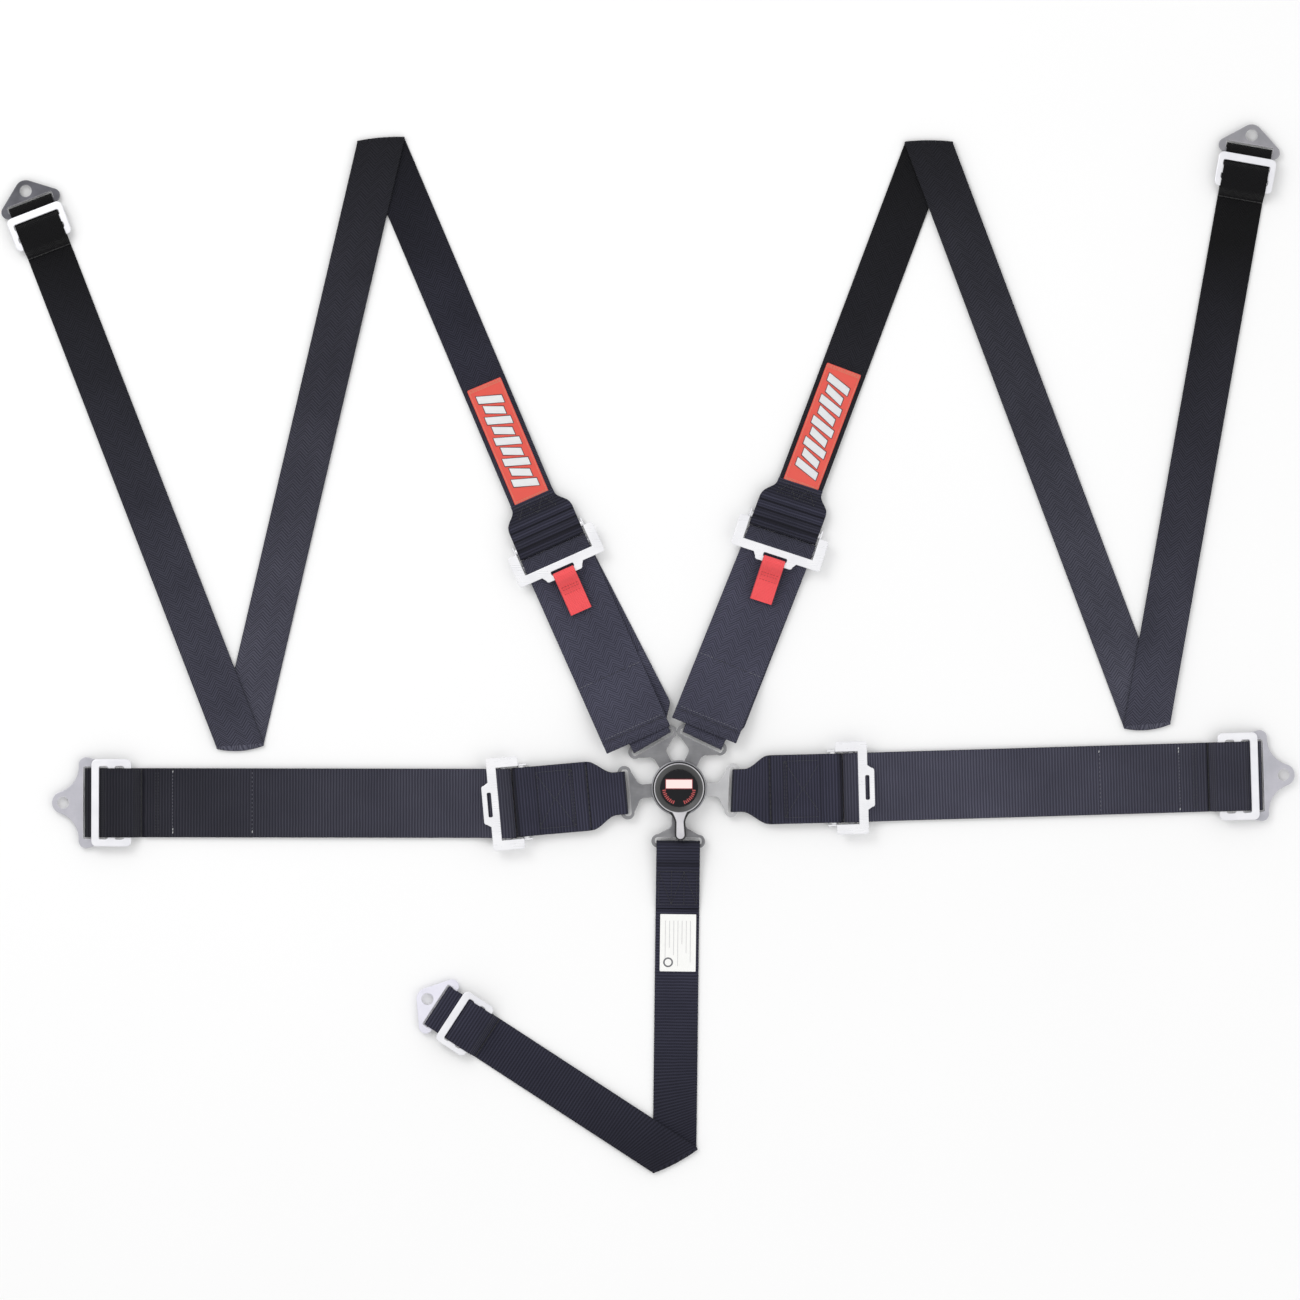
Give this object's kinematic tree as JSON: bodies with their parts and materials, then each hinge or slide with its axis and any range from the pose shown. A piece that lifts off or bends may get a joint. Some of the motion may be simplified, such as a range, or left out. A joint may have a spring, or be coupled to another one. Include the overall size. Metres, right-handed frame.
{
  "type": "racing harness",
  "caption": "Five-point cam-lock racing harness laid flat: two lap belts, two folded shoulder belts and a sub belt, with adjusters, slides and bolt-in brackets.",
  "frame": {"origin": "centre of the buckle's back face", "axes": "+X towards the right lap bracket, +Y towards the shoulder belts, +Z out of the buckle face"},
  "size_m": [1.4226, 1.1524, 0.0198],
  "materials": {
    "anodised_black": "semi-gloss black",
    "cap_black": "gloss black printed disc",
    "bright_trim": "polished",
    "housing_steel": "bead-blasted grey plating",
    "inner_steel": "plain machined steel",
    "spring_steel": "blued spring steel",
    "tongue_steel": "dull zinc-plated stamped steel",
    "bright_tongue": "brighter zinc plating",
    "adjuster_steel": "bright plated pressed steel",
    "slide_alloy": "polished casting",
    "bracket_steel": "satin zinc-plated plate",
    "dark_bracket": "satin zinc-plated plate",
    "lap_webbing": "ribbed polyester webbing, charcoal",
    "shoulder_webbing": "twill polyester webbing, near black",
    "tail_webbing": "ribbed polyester webbing, charcoal",
    "sub_webbing": "ribbed polyester webbing",
    "patch_red": "embroidered red patch",
    "tab_red": "red narrow webbing",
    "label_white": "printed white satin label"
  },
  "bodies": {
    "buckle": {"buckle_base": "housing_steel", "buckle_housing": "housing_steel", "housing_screws": "inner_steel", "latch_springs": "spring_steel", "return_spring": "spring_steel", "left_lap_tongue": "tongue_steel"},
    "lever": {"spindle": "inner_steel", "release_cam": "inner_steel", "release_lever": "anodised_black", "lever_trim": "bright_trim", "cap_disc": "cap_black"},
    "right_lap_tongue": {"right_lap_tongue": "bright_tongue"},
    "left_shoulder_tongue": {"left_shoulder_tongue": "tongue_steel"},
    "right_shoulder_tongue": {"right_shoulder_tongue": "tongue_steel"},
    "sub_tongue": {"sub_tongue": "tongue_steel"},
    "left_lap_loop": {"left_lap_loop": "lap_webbing"},
    "left_lap_adjuster": {"left_lap_adjuster_frame": "adjuster_steel", "left_lap_grip_bar": "inner_steel"},
    "left_lap_run": {"left_lap_run": "lap_webbing"},
    "left_lap_tail": {"left_lap_tail": "tail_webbing"},
    "left_lap_end": {"left_lap_end_loop": "lap_webbing", "left_lap_slide": "slide_alloy"},
    "left_lap_bracket": {"left_lap_bracket": "bracket_steel"},
    "right_lap_loop": {"right_lap_loop": "lap_webbing"},
    "right_lap_adjuster": {"right_lap_adjuster_frame": "adjuster_steel", "right_lap_grip_bar": "inner_steel"},
    "right_lap_run": {"right_lap_run": "lap_webbing"},
    "right_lap_tail": {"right_lap_tail": "tail_webbing"},
    "right_lap_end": {"right_lap_end_loop": "lap_webbing", "right_lap_slide": "slide_alloy"},
    "right_lap_bracket": {"right_lap_bracket": "bracket_steel"},
    "left_shoulder_lower": {"left_shoulder_lower_belt": "tail_webbing"},
    "left_shoulder_grip": {"left_shoulder_grip_bar": "inner_steel"},
    "left_shoulder_tail": {"left_shoulder_tail": "tail_webbing"},
    "left_shoulder_adjuster": {"left_shoulder_adjuster_frame": "adjuster_steel"},
    "left_shoulder_tab": {"left_shoulder_pull_tab": "tab_red"},
    "left_shoulder_upper": {"left_shoulder_upper_belt": "shoulder_webbing", "left_shoulder_patch": "patch_red"},
    "left_shoulder_middle": {"left_shoulder_middle_belt": "shoulder_webbing"},
    "left_shoulder_end": {"left_shoulder_end_belt": "shoulder_webbing", "left_shoulder_slide": "slide_alloy"},
    "left_shoulder_bracket": {"left_shoulder_bracket": "dark_bracket"},
    "right_shoulder_lower": {"right_shoulder_lower_belt": "tail_webbing"},
    "right_shoulder_grip": {"right_shoulder_grip_bar": "inner_steel"},
    "right_shoulder_tail": {"right_shoulder_tail": "tail_webbing"},
    "right_shoulder_adjuster": {"right_shoulder_adjuster_frame": "adjuster_steel"},
    "right_shoulder_tab": {"right_shoulder_pull_tab": "tab_red"},
    "right_shoulder_upper": {"right_shoulder_upper_belt": "shoulder_webbing", "right_shoulder_patch": "patch_red"},
    "right_shoulder_middle": {"right_shoulder_middle_belt": "shoulder_webbing"},
    "right_shoulder_end": {"right_shoulder_end_belt": "shoulder_webbing", "right_shoulder_slide": "slide_alloy"},
    "right_shoulder_bracket": {"right_shoulder_bracket": "dark_bracket"},
    "sub_belt": {"sub_belt": "sub_webbing", "sub_label": "label_white"},
    "sub_end": {"sub_end_belt": "sub_webbing", "sub_slide": "slide_alloy"},
    "sub_bracket": {"sub_bracket": "bracket_steel"}
  },
  "joints": [
    {"name": "lever_turn", "type": "hinge", "parent": "buckle", "child": "lever", "pos_m": [0, 0, 0.017], "axis": [0, 0, 1], "range_deg": [-35, 35], "stiffness_Nm_per_rad": 0.6, "deforming": ["latch_springs", "return_spring"]},
    {"name": "right_lap_release", "type": "slide", "parent": "buckle", "child": "right_lap_tongue", "axis": [0.999, -0.0436, 0], "range_m": [0, 0.022]},
    {"name": "left_shoulder_release", "type": "slide", "parent": "buckle", "child": "left_shoulder_tongue", "axis": [-0.5, 0.866, 0], "range_m": [0, 0.022]},
    {"name": "right_shoulder_release", "type": "slide", "parent": "buckle", "child": "right_shoulder_tongue", "axis": [0.4305, 0.9026, 0], "range_m": [0, 0.022]},
    {"name": "sub_release", "type": "slide", "parent": "buckle", "child": "sub_tongue", "axis": [-0.014, -0.9999, 0], "range_m": [0, 0.022]},
    {"name": "left_lap_lift", "type": "hinge", "parent": "buckle", "child": "left_lap_loop", "pos_m": [-0.06375, -0.00569, 0.0075], "axis": [-0.0889, 0.996, 0], "range_deg": [0, 40]},
    {"name": "left_lap_adjuster_tilt", "type": "hinge", "parent": "left_lap_loop", "child": "left_lap_adjuster", "pos_m": [-0.1706, -0.0152, 0.0075], "axis": [-0.0887, 0.9961, 0], "range_deg": [0, 22]},
    {"name": "left_lap_run_level", "type": "hinge", "parent": "left_lap_adjuster", "child": "left_lap_run", "pos_m": [-0.19062, -0.01698, 0.0075], "axis": [-0.0887, 0.9961, 0], "range_deg": [-22, 0]},
    {"name": "left_lap_length", "type": "slide", "parent": "left_lap_run", "child": "left_lap_end", "axis": [-1, 0.0018, 0], "range_m": [0, 0.08]},
    {"name": "left_lap_tail_feed", "type": "slide", "parent": "left_lap_run", "child": "left_lap_tail", "axis": [-1, 0.0018, 0], "range_m": [-0.08, 0], "deforming": ["left_lap_tail"]},
    {"name": "left_lap_bracket_swing", "type": "hinge", "parent": "left_lap_end", "child": "left_lap_bracket", "pos_m": [-0.642, -0.01616, 0.0051], "axis": [0.0018, 1, 0], "range_deg": [0, 20]},
    {"name": "right_lap_lift", "type": "hinge", "parent": "right_lap_tongue", "child": "right_lap_loop", "pos_m": [0.06394, -0.00279, 0.0075], "axis": [-0.0436, -0.999, 0], "range_deg": [0, 40]},
    {"name": "right_lap_adjuster_tilt", "type": "hinge", "parent": "right_lap_loop", "child": "right_lap_adjuster", "pos_m": [0.1697, -0.0001, 0.0075], "axis": [0.0254, -0.9997, 0], "range_deg": [0, 22]},
    {"name": "right_lap_run_level", "type": "hinge", "parent": "right_lap_adjuster", "child": "right_lap_run", "pos_m": [0.18979, 0.00041, 0.0075], "axis": [0.0254, -0.9997, 0], "range_deg": [-22, 0]},
    {"name": "right_lap_length", "type": "slide", "parent": "right_lap_run", "child": "right_lap_end", "axis": [0.9996, 0.0294, 0], "range_m": [0, 0.08]},
    {"name": "right_lap_tail_feed", "type": "slide", "parent": "right_lap_run", "child": "right_lap_tail", "axis": [0.9996, 0.0294, 0], "range_m": [-0.08, 0], "deforming": ["right_lap_tail"]},
    {"name": "right_lap_bracket_swing", "type": "hinge", "parent": "right_lap_end", "child": "right_lap_bracket", "pos_m": [0.62962, 0.01336, 0.0051], "axis": [0.0294, -0.9996, 0], "range_deg": [0, 20]},
    {"name": "left_shoulder_lift", "type": "hinge", "parent": "left_shoulder_tongue", "child": "left_shoulder_lower", "pos_m": [-0.032, 0.05543, 0.0075], "axis": [0.866, 0.5, 0], "range_deg": [0, 40]},
    {"name": "left_shoulder_length", "type": "slide", "parent": "left_shoulder_lower", "child": "left_shoulder_grip", "axis": [-0.4561, 0.8899, 0], "range_m": [0, 0.05]},
    {"name": "left_shoulder_tail_feed", "type": "slide", "parent": "left_shoulder_grip", "child": "left_shoulder_tail", "axis": [-0.4067, 0.9135, 0], "range_m": [0, 0.05], "deforming": ["left_shoulder_tail"]},
    {"name": "left_shoulder_adjuster_tilt", "type": "hinge", "parent": "left_shoulder_grip", "child": "left_shoulder_adjuster", "pos_m": [-0.13512, 0.25664, 0.0075], "axis": [-0.9135, -0.4067, 0], "range_deg": [0, 22]},
    {"name": "left_shoulder_tab_swing", "type": "hinge", "parent": "left_shoulder_adjuster", "child": "left_shoulder_tab", "pos_m": [-0.12601, 0.23617, 0.0151], "axis": [-0.9135, -0.4067, 0], "range_deg": [-3, 80]},
    {"name": "left_shoulder_upper_level", "type": "hinge", "parent": "left_shoulder_adjuster", "child": "left_shoulder_upper", "pos_m": [-0.1433, 0.275, 0.0075], "axis": [-0.9135, -0.4067, 0], "range_deg": [-22, 0]},
    {"name": "left_shoulder_top_fold", "type": "hinge", "parent": "left_shoulder_upper", "child": "left_shoulder_middle", "pos_m": [-0.328, 0.712, 0.0026], "axis": [-0.9964, -0.0853, 0], "range_deg": [0, 120]},
    {"name": "left_shoulder_bottom_fold", "type": "hinge", "parent": "left_shoulder_middle", "child": "left_shoulder_end", "pos_m": [-0.483, 0.047, 0.0026], "axis": [0.9976, 0.0698, 0], "range_deg": [0, 120]},
    {"name": "left_shoulder_bracket_swing", "type": "hinge", "parent": "left_shoulder_end", "child": "left_shoulder_bracket", "pos_m": [-0.71135, 0.63795, 0.0051], "axis": [0.9328, 0.3604, 0], "range_deg": [0, 30]},
    {"name": "right_shoulder_lift", "type": "hinge", "parent": "right_shoulder_tongue", "child": "right_shoulder_lower", "pos_m": [0.02755, 0.05776, 0.0075], "axis": [0.9026, -0.4305, 0], "range_deg": [0, 40]},
    {"name": "right_shoulder_length", "type": "slide", "parent": "right_shoulder_lower", "child": "right_shoulder_grip", "axis": [0.3657, 0.9307, 0], "range_m": [0, 0.05]},
    {"name": "right_shoulder_tail_feed", "type": "slide", "parent": "right_shoulder_grip", "child": "right_shoulder_tail", "axis": [0.3746, 0.9272, 0], "range_m": [0, 0.05], "deforming": ["right_shoulder_tail"]},
    {"name": "right_shoulder_adjuster_tilt", "type": "hinge", "parent": "right_shoulder_grip", "child": "right_shoulder_adjuster", "pos_m": [0.11089, 0.26988, 0.0075], "axis": [-0.9511, 0.309, 0], "range_deg": [0, 22]},
    {"name": "right_shoulder_tab_swing", "type": "hinge", "parent": "right_shoulder_adjuster", "child": "right_shoulder_tab", "pos_m": [0.10397, 0.24858, 0.0151], "axis": [-0.9511, 0.309, 0], "range_deg": [-3, 80]},
    {"name": "right_shoulder_upper_level", "type": "hinge", "parent": "right_shoulder_adjuster", "child": "right_shoulder_upper", "pos_m": [0.1171, 0.289, 0.0075], "axis": [-0.9511, 0.309, 0], "range_deg": [-22, 0]},
    {"name": "right_shoulder_top_fold", "type": "hinge", "parent": "right_shoulder_upper", "child": "right_shoulder_middle", "pos_m": [0.275, 0.709, 0.0026], "axis": [-1, 0.0002, 0], "range_deg": [0, 120]},
    {"name": "right_shoulder_bottom_fold", "type": "hinge", "parent": "right_shoulder_middle", "child": "right_shoulder_end", "pos_m": [0.515, 0.07, 0.0026], "axis": [0.9958, 0.0917, 0], "range_deg": [0, 120]},
    {"name": "right_shoulder_bracket_swing", "type": "hinge", "parent": "right_shoulder_end", "child": "right_shoulder_bracket", "pos_m": [0.62649, 0.69821, 0.0051], "axis": [0.9846, -0.1747, 0], "range_deg": [0, 30]},
    {"name": "sub_lift", "type": "hinge", "parent": "sub_tongue", "child": "sub_belt", "pos_m": [-0.00089, -0.06399, 0.0075], "axis": [-0.9999, 0.014, 0], "range_deg": [0, 40]},
    {"name": "sub_fold", "type": "hinge", "parent": "sub_belt", "child": "sub_end", "pos_m": [-0.005, -0.409, 0.0026], "axis": [0.8819, 0.4714, 0], "range_deg": [0, 120]},
    {"name": "sub_bracket_swing", "type": "hinge", "parent": "sub_end", "child": "sub_bracket", "pos_m": [-0.25986, -0.24307, 0.0051], "axis": [0.5456, 0.838, 0], "range_deg": [0, 30]}
  ],
  "couplings": [
    {"joint": "left_lap_run_level", "follows": "left_lap_adjuster_tilt", "ratio": -1},
    {"joint": "left_lap_tail_feed", "follows": "left_lap_length", "ratio": -1},
    {"joint": "right_lap_run_level", "follows": "right_lap_adjuster_tilt", "ratio": -1},
    {"joint": "right_lap_tail_feed", "follows": "right_lap_length", "ratio": -1},
    {"joint": "left_shoulder_tail_feed", "follows": "left_shoulder_length", "ratio": 1},
    {"joint": "left_shoulder_upper_level", "follows": "left_shoulder_adjuster_tilt", "ratio": -1},
    {"joint": "right_shoulder_tail_feed", "follows": "right_shoulder_length", "ratio": 1},
    {"joint": "right_shoulder_upper_level", "follows": "right_shoulder_adjuster_tilt", "ratio": -1}
  ]
}
